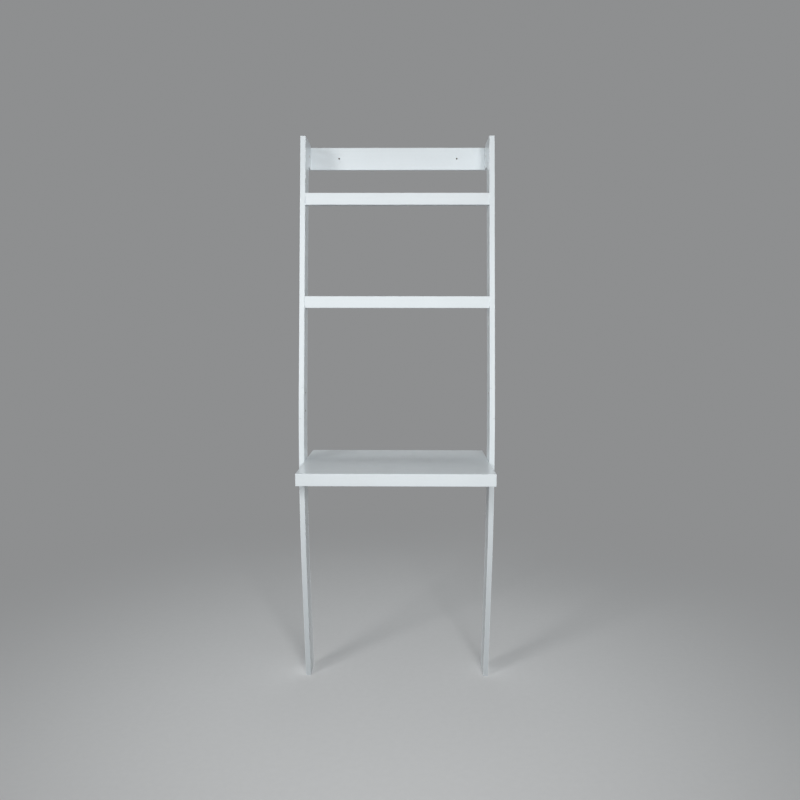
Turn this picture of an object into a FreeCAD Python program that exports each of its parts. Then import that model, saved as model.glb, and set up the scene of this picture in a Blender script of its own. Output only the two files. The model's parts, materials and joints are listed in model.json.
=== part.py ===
# Ladder desk in white lacquered board: two bent sides, a desk and two shelves between
# them, and a rail across the top that stands against the wall.
# Millimetres. X runs across the desk, Y from the desk's front lip back to the wall, and
# Z up from the floor. The origin is on the floor, under the middle of the outline.
import FreeCAD
import Part
import math
import os
from FreeCAD import Vector

# Overall sizes
overall_width = 635.0
overall_height = 1829.0
overall_depth = 508.0

# Boards
side_thickness = 17.0
side_width = 84.0
shelf_thickness = 15.0
lip_thickness = 17.0
lip_height = 38.0
frame_rail_thickness = 17.0
edge_radius = 1.5

# Side profile: the front edge is a straight leg, one wide bend and a straight upper part.
# The two straight lines would meet at the bend corner.
bend_corner_setback = 176.0
bend_corner_height = 699.0
bend_radius = 2020.0
lean_angle = 8.9
leg_angle = 9.5

# Half-lap joint where the upper and the lower side board meet
lap_bottom_height = 914.5
lap_length = 98.0
lap_shoulder_gap = 0.5
lap_bolt_end_distance = 20.0

# Wall rail across the top, and the ears of the sides that reach back to it
wall_rail_thickness = 17.0
wall_rail_height = 74.0
wall_rail_drop = 7.5
ear_corner_radius = 12.0
wall_hole_spacing = 406.4
wall_hole_diameter = 5.5

# Levels and depths of the shelves and the desk
wall_rail_to_top_shelf = 105.0
shelf_spacing = 335.0
shelf_wall_gap = 3.0
desk_height = 774.0
desk_depth = 436.0
desk_rail_end_setback = 6.0

# Countersunk furniture bolts with a hexagon drive
bolt_diameter = 6.0
bolt_head_diameter = 12.0
bolt_head_rim = 0.6
bolt_head_sink = 0.2
bolt_hole_clearance = 0.25
hex_drive_width = 4.0
hex_drive_depth = 2.4
bolt_end_reach = 5.0
lap_bolt_end_gap = 1.5

# Barrel nuts and insert nuts
barrel_diameter = 10.0
barrel_length = 10.0
barrel_setback = 34.0
barrel_clearance = 0.1
thread_clearance = 0.05
slot_width = 1.4
slot_depth = 1.2
insert_diameter = 9.0
lap_insert_length = 8.0
desk_insert_length = 13.0
insert_clearance = 0.05

# Dowels
dowel_diameter = 8.0
dowel_length = 30.0
short_dowel_length = 22.0
dowel_clearance = 0.05
dowel_end_gap = 1.0
dowel_chamfer = 1.0
dowel_depth_in_side = 10.0
dowel_depth_in_lip = 11.0
wall_dowel_offset = 24.0
shelf_dowel_offset = 20.0
desk_bolt_offset = 25.0
lip_dowel_spacing = 230.0

# Wood screws that hold the rails under the desk board
screw_diameter = 4.0
screw_head_diameter = 8.0
screw_drive_length = 4.6
screw_drive_width = 1.0
screw_drive_depth = 1.4
screw_bite = 9.0
screw_clearance = 0.1
screw_end_distance = 45.0

# Places that follow from the sizes
outer_x = overall_width / 2
inner_x = outer_x - side_thickness
lap_plane_x = outer_x - side_thickness / 2
front_y = -overall_depth / 2
wall_y = overall_depth / 2
ear_rear_y = wall_y - wall_rail_thickness
wall_rail_top = overall_height - wall_rail_drop
ear_bottom = wall_rail_top - wall_rail_height
wall_rail_middle = (wall_rail_top + ear_bottom) / 2
top_shelf_height = ear_bottom - wall_rail_to_top_shelf
middle_shelf_height = top_shelf_height - shelf_spacing
lap_top_height = lap_bottom_height + lap_length
lap_bolt_heights = (
    lap_bottom_height + lap_bolt_end_distance,
    lap_top_height - lap_bolt_end_distance,
)
lean = math.radians(lean_angle)
leg_lean = math.radians(leg_angle)
bend_corner_y = front_y + bend_corner_setback
tangent_length = bend_radius * math.tan((lean + leg_lean) / 2)
bend_top = (
    bend_corner_y + tangent_length * math.sin(lean),
    bend_corner_height + tangent_length * math.cos(lean),
)
bend_bottom = (
    bend_corner_y + tangent_length * math.sin(leg_lean),
    bend_corner_height - tangent_length * math.cos(leg_lean),
)
bend_centre = (
    bend_top[0] + bend_radius * math.cos(lean),
    bend_top[1] - bend_radius * math.sin(lean),
)
desk_underside = desk_height - shelf_thickness
desk_frame_bottom = desk_height - lip_height
desk_rail_middle = (desk_underside + desk_frame_bottom) / 2
desk_rear_y = front_y + desk_depth
desk_lip_rear_y = front_y + lip_thickness
desk_rail_rear_y = desk_rear_y - desk_rail_end_setback
desk_rail_x = inner_x - frame_rail_thickness / 2
desk_back_rail_y = desk_rail_rear_y - frame_rail_thickness / 2
screw_length = desk_underside - desk_frame_bottom + screw_bite

X_AXIS = Vector(1, 0, 0)
Y_AXIS = Vector(0, 1, 0)
Z_AXIS = Vector(0, 0, 1)
SIDES = (-1, 1)


def block(x0, x1, y0, y1, z0, z1):
    """A box between the two corners."""
    return Part.makeBox(x1 - x0, y1 - y0, z1 - z0, Vector(x0, y0, z0))


def cylinder(diameter, start, direction, length):
    """A round bar from start along direction."""
    return Part.makeCylinder(diameter / 2, length, start, direction)


def cut_all(shape, tools):
    """The shape with every tool taken out of it."""
    return shape.cut(Part.makeCompound(tools)) if tools else shape


def rounded(shape, keep_edge, radius=edge_radius):
    """Round each edge that keep_edge accepts by its bounding box."""
    chosen = [edge for edge in shape.Edges if keep_edge(edge.BoundBox)]
    return shape.makeFillet(radius, chosen)


def same(a, b):
    """True where two places agree within a hundredth of a millimetre."""
    return abs(a - b) < 0.01


def mirrored(shape):
    """The shape on the other side of the middle plane."""
    return shape.mirror(Vector(0, 0, 0), X_AXIS)


def export(shape, node):
    """Write one sub-part, or a group of like solids, as a STEP file."""
    shape.exportStep("parts/" + node + ".step")


# ---- side profile -------------------------------------------------------------------


def profile_y(height, inset):
    """Y of the side's front edge, moved back by inset square to the edge, at a height."""
    top_tangent = bend_top[1] - inset * math.sin(lean)
    bottom_tangent = bend_bottom[1] + inset * math.sin(leg_lean)
    if height >= top_tangent:
        rise = height - bend_corner_height
        return bend_corner_y + rise * math.tan(lean) + inset / math.cos(lean)
    if height <= bottom_tangent:
        fall = bend_corner_height - height
        return bend_corner_y + fall * math.tan(leg_lean) + inset / math.cos(leg_lean)
    radius = bend_radius - inset
    return bend_centre[0] - math.sqrt(radius ** 2 - (height - bend_centre[1]) ** 2)


def side_front_y(height):
    """Y of the side's front edge at a height."""
    return profile_y(height, 0.0)


def side_middle_y(height):
    """Y halfway between the side's front and rear edge at a height."""
    return (profile_y(height, 0.0) + profile_y(height, side_width)) / 2


def edge_angle(height):
    """Angle of the side's front edge from upright at a height, leaning back at the top."""
    if height >= bend_top[1]:
        return lean
    if height <= bend_bottom[1]:
        return -leg_lean
    return math.asin((height - bend_centre[1]) / bend_radius)


def profile_point(x, height, inset):
    """A point of the profile's edge in the plane at x."""
    return Vector(x, profile_y(height, inset), height)


def bend_edge(x, inset):
    """The arc of the bend, from its lower to its upper tangent point."""
    low = bend_bottom[1] + inset * math.sin(leg_lean)
    high = bend_top[1] - inset * math.sin(lean)
    ends = [profile_point(x, height, inset) for height in (low, (low + high) / 2, high)]
    return Part.Arc(*ends).toShape()


def side_blank():
    """The left side in one piece: both boards and the ear, with its edges rounded."""
    x = -outer_x
    front_bend = bend_edge(x, 0.0)
    rear_bend = bend_edge(x, side_width)
    front_low = front_bend.Vertexes[0].Point
    front_high = front_bend.Vertexes[1].Point
    rear_low = rear_bend.Vertexes[0].Point
    rear_high = rear_bend.Vertexes[1].Point
    foot_front = profile_point(x, 0.0, 0.0)
    foot_rear = profile_point(x, 0.0, side_width)
    ear_joint = profile_point(x, ear_bottom, side_width)
    corners = [
        front_high,
        profile_point(x, overall_height, 0.0),
        Vector(x, ear_rear_y, overall_height),
        Vector(x, ear_rear_y, ear_bottom),
        ear_joint,
        rear_high,
    ]
    straight = [Part.makeLine(a, b) for a, b in zip(corners, corners[1:])]
    straight.append(Part.makeLine(rear_low, foot_rear))
    straight.append(Part.makeLine(foot_rear, foot_front))
    straight.append(Part.makeLine(foot_front, front_low))
    edges = Part.__sortEdges__(straight + [front_bend, rear_bend])
    blank = Part.Face(Part.Wire(edges)).extrude(X_AXIS * side_thickness)

    def is_ear_corner(box):
        on_joint = same(box.YMin, ear_joint.y) and same(box.ZMin, ear_bottom)
        return on_joint and same(box.YLength, 0) and same(box.ZLength, 0)

    def is_outer_edge(box):
        along_profile = box.XLength < 0.01 and box.ZMax > 0.01
        top_front = same(box.ZMin, overall_height) and not same(box.XLength, 0)
        return (along_profile or top_front) and box.YMin < ear_rear_y - 0.01

    blank = rounded(blank, is_ear_corner, ear_corner_radius)
    return rounded(blank, is_outer_edge)


def space_above(x0, x1, height, gap):
    """The space above a shoulder that is square to the side's front edge at a height."""
    y0 = -side_width
    y1 = 2 * overall_depth
    space = block(x0, x1, y0, y1, -gap, 2 * overall_height)
    tilt = FreeCAD.Rotation(X_AXIS, -math.degrees(edge_angle(height)))
    space.Placement = FreeCAD.Placement(Vector(0, side_front_y(height), height), tilt)
    return space


def space_above_lap(gap):
    """The space above the half-lap: an outer slab and, from higher up, an inner one."""
    outer = space_above(-outer_x - side_thickness, -lap_plane_x, lap_bottom_height, gap)
    inner = space_above(-lap_plane_x, -inner_x + side_thickness, lap_top_height, gap)
    return outer.fuse(inner)


# ---- fasteners ----------------------------------------------------------------------


def hexagon_bar(width, start, direction, length):
    """A six-sided bar, width across its flats, from start along direction."""
    corner_radius = width / math.sqrt(3)
    points = []
    for index in range(7):
        angle = math.radians(60 * index)
        points.append(Vector(corner_radius * math.cos(angle), corner_radius * math.sin(angle), 0))
    bar = Part.Face(Part.makePolygon(points)).extrude(Z_AXIS * length)
    bar.Placement = FreeCAD.Placement(start, FreeCAD.Rotation(Z_AXIS, direction))
    return bar


def countersunk_bolt(face_point, direction, length):
    """A flat-head bolt sunk just under the face at face_point, pointing along direction."""
    top = face_point + direction * bolt_head_sink
    head_height = (bolt_head_diameter - bolt_diameter) / 2
    rim = cylinder(bolt_head_diameter, top, direction, bolt_head_rim)
    cone_start = top + direction * bolt_head_rim
    cone = Part.makeCone(
        bolt_head_diameter / 2, bolt_diameter / 2, head_height, cone_start, direction
    )
    shank_start = cone_start + direction * head_height
    shank_length = length - bolt_head_rim - head_height
    shank = cylinder(bolt_diameter, shank_start, direction, shank_length)
    bolt = rim.fuse([cone, shank]).removeSplitter()
    return bolt.cut(hexagon_bar(hex_drive_width, top, direction, hex_drive_depth))


def countersunk_hole(face_point, direction, length):
    """The hole that a flat-head bolt needs, drilled from the face at face_point."""
    head_diameter = bolt_head_diameter + 2 * bolt_hole_clearance
    hole_diameter = bolt_diameter + 2 * bolt_hole_clearance
    seat_depth = bolt_head_sink + bolt_head_rim
    cone_height = (head_diameter - hole_diameter) / 2
    seat = cylinder(head_diameter, face_point, direction, seat_depth)
    cone_start = face_point + direction * seat_depth
    cone = Part.makeCone(head_diameter / 2, hole_diameter / 2, cone_height, cone_start, direction)
    shank = cylinder(hole_diameter, face_point, direction, length)
    return seat.fuse([cone, shank])


def bolt_hole(start, direction, length):
    """A plain clearance hole for a bolt's shank."""
    return cylinder(bolt_diameter + 2 * bolt_hole_clearance, start, direction, length)


def barrel_nut(centre, axis, bolt_direction):
    """A round cross nut with a tapped hole through its middle and a slot in its end."""
    start = centre - axis * (barrel_length / 2)
    nut = cylinder(barrel_diameter, start, axis, barrel_length)
    tapped_start = centre - bolt_direction * barrel_diameter
    tapped = cylinder(
        bolt_diameter + 2 * thread_clearance, tapped_start, bolt_direction, 2 * barrel_diameter
    )
    slot = Part.makeBox(
        slot_width,
        2 * barrel_diameter,
        slot_depth,
        Vector(-slot_width / 2, -barrel_diameter, 0),
    )
    slot.Placement = FreeCAD.Placement(start, FreeCAD.Rotation(Z_AXIS, axis))
    return nut.cut([tapped, slot])


def barrel_hole(face_point, axis, board_thickness):
    """The blind hole for a barrel nut that lies in the middle of a board's thickness."""
    depth = (board_thickness + barrel_length) / 2
    return cylinder(barrel_diameter + 2 * barrel_clearance, face_point, axis, depth)


def insert_nut(start, direction, length):
    """A threaded sleeve pressed into a board, open at both ends."""
    sleeve = cylinder(insert_diameter, start, direction, length)
    return sleeve.cut(cylinder(bolt_diameter + 2 * thread_clearance, start, direction, length))


def insert_hole(start, direction, length):
    """The hole for an insert nut."""
    return cylinder(insert_diameter + 2 * insert_clearance, start, direction, length)


def dowel_across(joint_point, direction, depth_behind, length=dowel_length):
    """A wooden dowel across a joint, with chamfered ends, reaching back from the joint."""
    start = joint_point - direction * depth_behind
    bar = cylinder(dowel_diameter, start, direction, length)
    return bar.makeChamfer(dowel_chamfer, [edge for edge in bar.Edges if edge.Closed])


def dowel_hole(joint_point, direction, depth):
    """A blind hole for a dowel that goes depth into the board past joint_point."""
    return cylinder(
        dowel_diameter + 2 * dowel_clearance, joint_point, direction, depth + dowel_end_gap
    )


def cross_drive(start):
    """The cross recess in the head of a wood screw that points up."""
    half_length = screw_drive_length / 2
    half_width = screw_drive_width / 2
    x, y, z = start
    top = z + screw_drive_depth
    along_x = block(x - half_length, x + half_length, y - half_width, y + half_width, z, top)
    along_y = block(x - half_width, x + half_width, y - half_length, y + half_length, z, top)
    return [along_x, along_y]


def wood_screw(start):
    """A flat-head wood screw that points up, with a plain core, a cone point and a cross drive."""
    head_height = (screw_head_diameter - screw_diameter) / 2
    head = Part.makeCone(screw_head_diameter / 2, screw_diameter / 2, head_height, start, Z_AXIS)
    point_length = screw_diameter
    core_start = start + Z_AXIS * head_height
    core = cylinder(screw_diameter, core_start, Z_AXIS, screw_length - head_height - point_length)
    point_start = start + Z_AXIS * (screw_length - point_length)
    point = Part.makeCone(screw_diameter / 2, 0, point_length, point_start, Z_AXIS)
    screw = head.fuse([core, point]).removeSplitter()
    return screw.cut(cross_drive(start))


def wood_screw_hole(start):
    """The countersunk hole of a wood screw, a little wider than the screw."""
    wide = screw_clearance * 2
    head_height = (screw_head_diameter - screw_diameter) / 2
    head = Part.makeCone(
        (screw_head_diameter + wide) / 2,
        (screw_diameter + wide) / 2,
        head_height,
        start,
        Z_AXIS,
    )
    core = cylinder(screw_diameter + wide, start, Z_AXIS, screw_length + screw_clearance)
    return head.fuse(core)


# ---- where the fasteners go ---------------------------------------------------------


def side_face_point(side, y, height):
    """A point on the outer face of the side with that sign."""
    return Vector(side * outer_x, y, height)


def inward(side):
    """The direction from that side's outer face to the middle of the desk."""
    return X_AXIS * -side


def shelf_bolt_y(top):
    """Y of a shelf's end bolts, halfway between its lip and the rear edge of the sides."""
    board_front = shelf_front_y(top) + lip_thickness
    return (board_front + profile_y(top - shelf_thickness / 2, side_width)) / 2


def shelf_bolt_places():
    """Height and Y of the end bolts of both shelves."""
    tops = (middle_shelf_height, top_shelf_height)
    return [(top - shelf_thickness / 2, shelf_bolt_y(top)) for top in tops]


def desk_bolt_places():
    """Y of the two bolts at each end of the desk."""
    middle = side_middle_y(desk_rail_middle)
    return (middle - desk_bolt_offset, middle + desk_bolt_offset)


def lap_bolt_places():
    """Y and height of the two bolts of a half-lap joint."""
    return [(side_middle_y(height), height) for height in lap_bolt_heights]


def wall_dowel_heights():
    """Heights of the two dowels between an ear and the wall rail."""
    return (wall_rail_middle - wall_dowel_offset, wall_rail_middle + wall_dowel_offset)


def lip_dowel_places():
    """X of the dowels along a lip."""
    return (-lip_dowel_spacing, 0.0, lip_dowel_spacing)


# ---- sides --------------------------------------------------------------------------


def upper_side_holes():
    """Holes of the left upper board: lap bolts, shelf bolts and dowels, wall rail joint."""
    holes = []
    direction = inward(-1)
    for y, height in lap_bolt_places():
        holes.append(countersunk_hole(side_face_point(-1, y, height), direction, side_thickness))
    for height, middle in shelf_bolt_places():
        face = side_face_point(-1, middle, height)
        holes.append(countersunk_hole(face, direction, side_thickness))
        for offset in (-shelf_dowel_offset, shelf_dowel_offset):
            joint = Vector(-inner_x, middle + offset, height)
            holes.append(dowel_hole(joint, -direction, dowel_depth_in_side))
    barrel_face = Vector(-inner_x, ear_rear_y - barrel_setback, wall_rail_middle)
    holes.append(barrel_hole(barrel_face, -direction, side_thickness))
    ear_middle = Vector(-lap_plane_x, ear_rear_y, wall_rail_middle)
    reach = barrel_setback + bolt_end_reach + dowel_end_gap
    holes.append(bolt_hole(ear_middle, -Y_AXIS, reach))
    for height in wall_dowel_heights():
        joint = Vector(-lap_plane_x, ear_rear_y, height)
        holes.append(dowel_hole(joint, -Y_AXIS, dowel_length - dowel_depth_in_side))
    return holes


def lower_side_holes():
    """Holes of the left lower board: insert nuts of the lap, desk bolts and dowel."""
    holes = []
    direction = inward(-1)
    for y, height in lap_bolt_places():
        inner_face = Vector(-inner_x, y, height)
        holes.append(insert_hole(inner_face, -direction, side_thickness / 2))
    for y in desk_bolt_places():
        face = side_face_point(-1, y, desk_rail_middle)
        holes.append(countersunk_hole(face, direction, side_thickness))
    joint = Vector(-inner_x, side_middle_y(desk_rail_middle), desk_rail_middle)
    holes.append(dowel_hole(joint, -direction, dowel_depth_in_side))
    return holes


def side_boards():
    """The upper and the lower board of the left side, half-lapped together."""
    blank = side_blank()
    upper = blank.common(space_above_lap(0.0))
    lower = blank.cut(space_above_lap(lap_shoulder_gap))
    return cut_all(upper, upper_side_holes()), cut_all(lower, lower_side_holes())


def lap_fasteners():
    """The bolts of both half-lap joints and the insert nuts in the lower boards."""
    bolts = []
    nuts = []
    length = side_thickness - bolt_head_sink - lap_bolt_end_gap
    for side in SIDES:
        direction = inward(side)
        for y, height in lap_bolt_places():
            bolts.append(countersunk_bolt(side_face_point(side, y, height), direction, length))
            inner_face = Vector(side * inner_x, y, height)
            nuts.append(insert_nut(inner_face, -direction, lap_insert_length))
    return bolts, nuts


# ---- wall rail ----------------------------------------------------------------------


def wall_rail():
    """The rail across the back of both ears, with two holes for wall screws."""
    rail = block(-outer_x, outer_x, ear_rear_y, wall_y, ear_bottom, wall_rail_top)
    rail = rounded(rail, lambda box: True)
    holes = []
    for side in SIDES:
        start = Vector(side * wall_hole_spacing / 2, ear_rear_y, wall_rail_middle)
        holes.append(cylinder(wall_hole_diameter, start, Y_AXIS, wall_rail_thickness))
        rear = Vector(side * lap_plane_x, wall_y, wall_rail_middle)
        holes.append(countersunk_hole(rear, -Y_AXIS, wall_rail_thickness))
        for height in wall_dowel_heights():
            joint = Vector(side * lap_plane_x, ear_rear_y, height)
            holes.append(dowel_hole(joint, Y_AXIS, dowel_depth_in_side))
    return cut_all(rail, holes)


def wall_rail_fasteners():
    """The bolts, barrel nuts and dowels between the wall rail and the ears."""
    bolts = []
    nuts = []
    dowels = []
    length = wall_rail_thickness + barrel_setback + bolt_end_reach - bolt_head_sink
    for side in SIDES:
        rear = Vector(side * lap_plane_x, wall_y, wall_rail_middle)
        bolts.append(countersunk_bolt(rear, -Y_AXIS, length))
        centre = Vector(side * lap_plane_x, ear_rear_y - barrel_setback, wall_rail_middle)
        nuts.append(barrel_nut(centre, X_AXIS * side, Y_AXIS))
        for height in wall_dowel_heights():
            joint = Vector(side * lap_plane_x, ear_rear_y, height)
            dowels.append(dowel_across(joint, -Y_AXIS, dowel_depth_in_side))
    return bolts, nuts, dowels


# ---- shelves ------------------------------------------------------------------------


def shelf_front_y(top):
    """Y of a shelf lip's front face, flush with the sides at the lip's top edge."""
    return side_front_y(top)


def lip_dowel_holes(joint_y, height, direction, depth):
    """Dowel holes along a lip's joint."""
    return [dowel_hole(Vector(x, joint_y, height), direction, depth) for x in lip_dowel_places()]


def shelf_board(top):
    """A shelf board between the sides, from its lip back to the wall."""
    joint_y = shelf_front_y(top) + lip_thickness
    rear_y = wall_y - shelf_wall_gap
    board = block(-inner_x, inner_x, joint_y, rear_y, top - shelf_thickness, top)
    board = rounded(board, lambda box: box.YMax > joint_y + 0.01)
    middle_z = top - shelf_thickness / 2
    middle_y = shelf_bolt_y(top)
    holes = lip_dowel_holes(joint_y, middle_z, Y_AXIS, dowel_length - dowel_depth_in_lip)
    for side in SIDES:
        end = Vector(side * inner_x, middle_y, middle_z)
        barrel_x = side * (inner_x - barrel_setback)
        holes.append(bolt_hole(end, inward(side), barrel_setback + bolt_end_reach + dowel_end_gap))
        barrel_face = Vector(barrel_x, middle_y, top - shelf_thickness)
        holes.append(barrel_hole(barrel_face, Z_AXIS, shelf_thickness))
        for offset in (-shelf_dowel_offset, shelf_dowel_offset):
            joint = Vector(side * inner_x, middle_y + offset, middle_z)
            depth = dowel_length - dowel_depth_in_side
            holes.append(dowel_hole(joint, inward(side), depth))
    return cut_all(board, holes)


def shelf_lip(top):
    """The deep front edge of a shelf, glued and dowelled to the board."""
    lip_front = shelf_front_y(top)
    joint_y = lip_front + lip_thickness
    lip = block(-inner_x, inner_x, lip_front, joint_y, top - lip_height, top)

    def is_long_edge(box):
        against_board = same(box.YMin, joint_y) and same(box.ZMin, top)
        return same(box.XLength, 2 * inner_x) and not against_board

    lip = rounded(lip, is_long_edge)
    middle_z = top - shelf_thickness / 2
    return cut_all(lip, lip_dowel_holes(joint_y, middle_z, -Y_AXIS, dowel_depth_in_lip))


def shelf_lip_dowels():
    """The dowels between both shelf boards and their lips."""
    dowels = []
    for top in (middle_shelf_height, top_shelf_height):
        joint_y = shelf_front_y(top) + lip_thickness
        for x in lip_dowel_places():
            joint = Vector(x, joint_y, top - shelf_thickness / 2)
            dowels.append(dowel_across(joint, Y_AXIS, dowel_depth_in_lip))
    return dowels


def shelf_fasteners():
    """The bolts, barrel nuts and dowels that hold both shelves between the sides."""
    bolts = []
    nuts = []
    dowels = []
    length = side_thickness + barrel_setback + bolt_end_reach - bolt_head_sink
    for height, middle in shelf_bolt_places():
        for side in SIDES:
            direction = inward(side)
            bolts.append(countersunk_bolt(side_face_point(side, middle, height), direction, length))
            centre = Vector(side * (inner_x - barrel_setback), middle, height)
            nuts.append(barrel_nut(centre, Z_AXIS, X_AXIS))
            for offset in (-shelf_dowel_offset, shelf_dowel_offset):
                joint = Vector(side * inner_x, middle + offset, height)
                dowels.append(dowel_across(joint, direction, dowel_depth_in_side))
    return bolts, nuts, dowels


# ---- desk ---------------------------------------------------------------------------


def desk_screw_starts():
    """Head centres of the wood screws, on the underside of the side rails and back rail."""
    side_front = desk_lip_rear_y + screw_end_distance
    side_rear = desk_rail_rear_y - screw_end_distance
    places = [(side * desk_rail_x, y) for side in SIDES for y in (side_front, side_rear)]
    places += [(x, desk_back_rail_y) for x in lip_dowel_places()]
    return [Vector(x, y, desk_frame_bottom) for x, y in places]


def desk_screw_holes():
    """The screws' holes, through the rails and into the desk board."""
    return [wood_screw_hole(start) for start in desk_screw_starts()]


def desk_board():
    """The writing surface."""
    board = block(-inner_x, inner_x, desk_lip_rear_y, desk_rear_y, desk_underside, desk_height)
    board = rounded(board, lambda box: box.YMax > desk_lip_rear_y + 0.01)
    middle_z = desk_height - shelf_thickness / 2
    depth = dowel_length - dowel_depth_in_lip
    holes = lip_dowel_holes(desk_lip_rear_y, middle_z, Y_AXIS, depth)
    return cut_all(board, holes + desk_screw_holes())


def desk_lip():
    """The deep front edge of the desk, with free rounded ends."""
    lip = block(-inner_x, inner_x, front_y, desk_lip_rear_y, desk_frame_bottom, desk_height)
    lip = rounded(lip, lambda box: box.YMin < desk_lip_rear_y - 0.01)
    middle_z = desk_height - shelf_thickness / 2
    holes = lip_dowel_holes(desk_lip_rear_y, middle_z, -Y_AXIS, dowel_depth_in_lip)
    for side in SIDES:
        joint = Vector(side * desk_rail_x, desk_lip_rear_y, desk_rail_middle)
        holes.append(dowel_hole(joint, -Y_AXIS, dowel_depth_in_lip))
    return cut_all(lip, holes)


def desk_side_rail():
    """The left rail under the desk board, bolted to the lower side board."""
    rail = block(
        -inner_x,
        -inner_x + frame_rail_thickness,
        desk_lip_rear_y,
        desk_rail_rear_y,
        desk_frame_bottom,
        desk_underside,
    )
    rail = rounded(rail, lambda box: same(box.ZMax, desk_frame_bottom) and box.YLength > side_width)
    holes = []
    for y in desk_bolt_places():
        joint = Vector(-inner_x, y, desk_rail_middle)
        holes.append(insert_hole(joint, X_AXIS, desk_insert_length))
    middle = Vector(-inner_x, side_middle_y(desk_rail_middle), desk_rail_middle)
    holes.append(dowel_hole(middle, X_AXIS, short_dowel_length - dowel_depth_in_side))
    front = Vector(-desk_rail_x, desk_lip_rear_y, desk_rail_middle)
    holes.append(dowel_hole(front, Y_AXIS, dowel_length - dowel_depth_in_lip))
    back = Vector(-inner_x + frame_rail_thickness, desk_back_rail_y, desk_rail_middle)
    holes.append(dowel_hole(back, -X_AXIS, dowel_depth_in_side))
    return cut_all(rail, holes + desk_screw_holes())


def desk_back_rail():
    """The rail under the rear edge of the desk board, between the side rails."""
    end_x = inner_x - frame_rail_thickness
    y0 = desk_rail_rear_y - frame_rail_thickness
    rail = block(-end_x, end_x, y0, desk_rail_rear_y, desk_frame_bottom, desk_underside)
    rail = rounded(rail, lambda box: same(box.ZMax, desk_frame_bottom) and box.XLength > side_width)
    holes = desk_screw_holes()
    for side in SIDES:
        joint = Vector(side * end_x, desk_back_rail_y, desk_rail_middle)
        holes.append(dowel_hole(joint, inward(side), dowel_length - dowel_depth_in_side))
    return cut_all(rail, holes)


def desk_end_fasteners():
    """The bolts, insert nuts and short dowels between the desk's side rails and the sides."""
    bolts = []
    nuts = []
    dowels = []
    length = side_thickness + desk_insert_length - bolt_head_sink
    for side in SIDES:
        direction = inward(side)
        for y in desk_bolt_places():
            face = side_face_point(side, y, desk_rail_middle)
            bolts.append(countersunk_bolt(face, direction, length))
            joint = Vector(side * inner_x, y, desk_rail_middle)
            nuts.append(insert_nut(joint, direction, desk_insert_length))
        joint = Vector(side * inner_x, side_middle_y(desk_rail_middle), desk_rail_middle)
        dowels.append(dowel_across(joint, direction, dowel_depth_in_side, short_dowel_length))
    return bolts, nuts, dowels


def desk_frame_dowels():
    """The dowels of the desk's lip and of its back rail."""
    middle_z = desk_height - shelf_thickness / 2
    joints = [Vector(x, desk_lip_rear_y, middle_z) for x in lip_dowel_places()]
    joints += [Vector(side * desk_rail_x, desk_lip_rear_y, desk_rail_middle) for side in SIDES]
    lip_dowels = [dowel_across(joint, Y_AXIS, dowel_depth_in_lip) for joint in joints]
    back_dowels = []
    for side in SIDES:
        end_x = side * (inner_x - frame_rail_thickness)
        joint = Vector(end_x, desk_back_rail_y, desk_rail_middle)
        back_dowels.append(dowel_across(joint, inward(side), dowel_depth_in_side))
    return lip_dowels, back_dowels


def desk_rail_screws():
    """The wood screws that hold the rails under the desk board."""
    return [wood_screw(start) for start in desk_screw_starts()]


# ---- all sub-parts ------------------------------------------------------------------


def export_mirrored_pair(left_shape, node):
    """Write a left piece and its mirror image."""
    export(left_shape, node + "_left")
    export(mirrored(left_shape), node + "_right")


def export_groups(groups, nodes):
    """Write each group of like solids as one node."""
    for solids, node in zip(groups, nodes):
        export(Part.makeCompound(solids), node)


def write_parts():
    """Build every sub-part and write it."""
    os.makedirs("parts", exist_ok=True)
    upper, lower = side_boards()
    export_mirrored_pair(upper, "upper_side")
    export_mirrored_pair(lower, "lower_side")
    export(wall_rail(), "wall_rail")
    for name, top in (("top_shelf", top_shelf_height), ("middle_shelf", middle_shelf_height)):
        export(shelf_board(top), name + "_board")
        export(shelf_lip(top), name + "_lip")
    export(desk_board(), "desk_board")
    export(desk_lip(), "desk_lip")
    export_mirrored_pair(desk_side_rail(), "desk_side_rail")
    export(desk_back_rail(), "desk_back_rail")
    export_groups(lap_fasteners(), ("lap_bolts", "lap_insert_nuts"))
    wall_nodes = ("wall_rail_bolts", "wall_rail_barrel_nuts", "wall_rail_dowels")
    export_groups(wall_rail_fasteners(), wall_nodes)
    shelf_nodes = ("shelf_bolts", "shelf_barrel_nuts", "shelf_end_dowels")
    export_groups(shelf_fasteners(), shelf_nodes)
    export_groups((shelf_lip_dowels(),), ("shelf_lip_dowels",))
    desk_nodes = ("desk_bolts", "desk_insert_nuts", "desk_end_dowels")
    export_groups(desk_end_fasteners(), desk_nodes)
    export_groups(desk_frame_dowels(), ("desk_lip_dowels", "desk_back_rail_dowels"))
    export_groups((desk_rail_screws(),), ("desk_rail_screws",))


write_parts()
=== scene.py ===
# Looks of the ladder desk, laid out as an add-on and run as a script.
# Metres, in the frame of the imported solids: X to the right, Y back to the wall, Z up.
import json
import math

import bpy
import numpy as np
from bpy.props import FloatProperty, FloatVectorProperty, IntProperty, PointerProperty
from mathutils import Matrix, Vector


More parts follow.
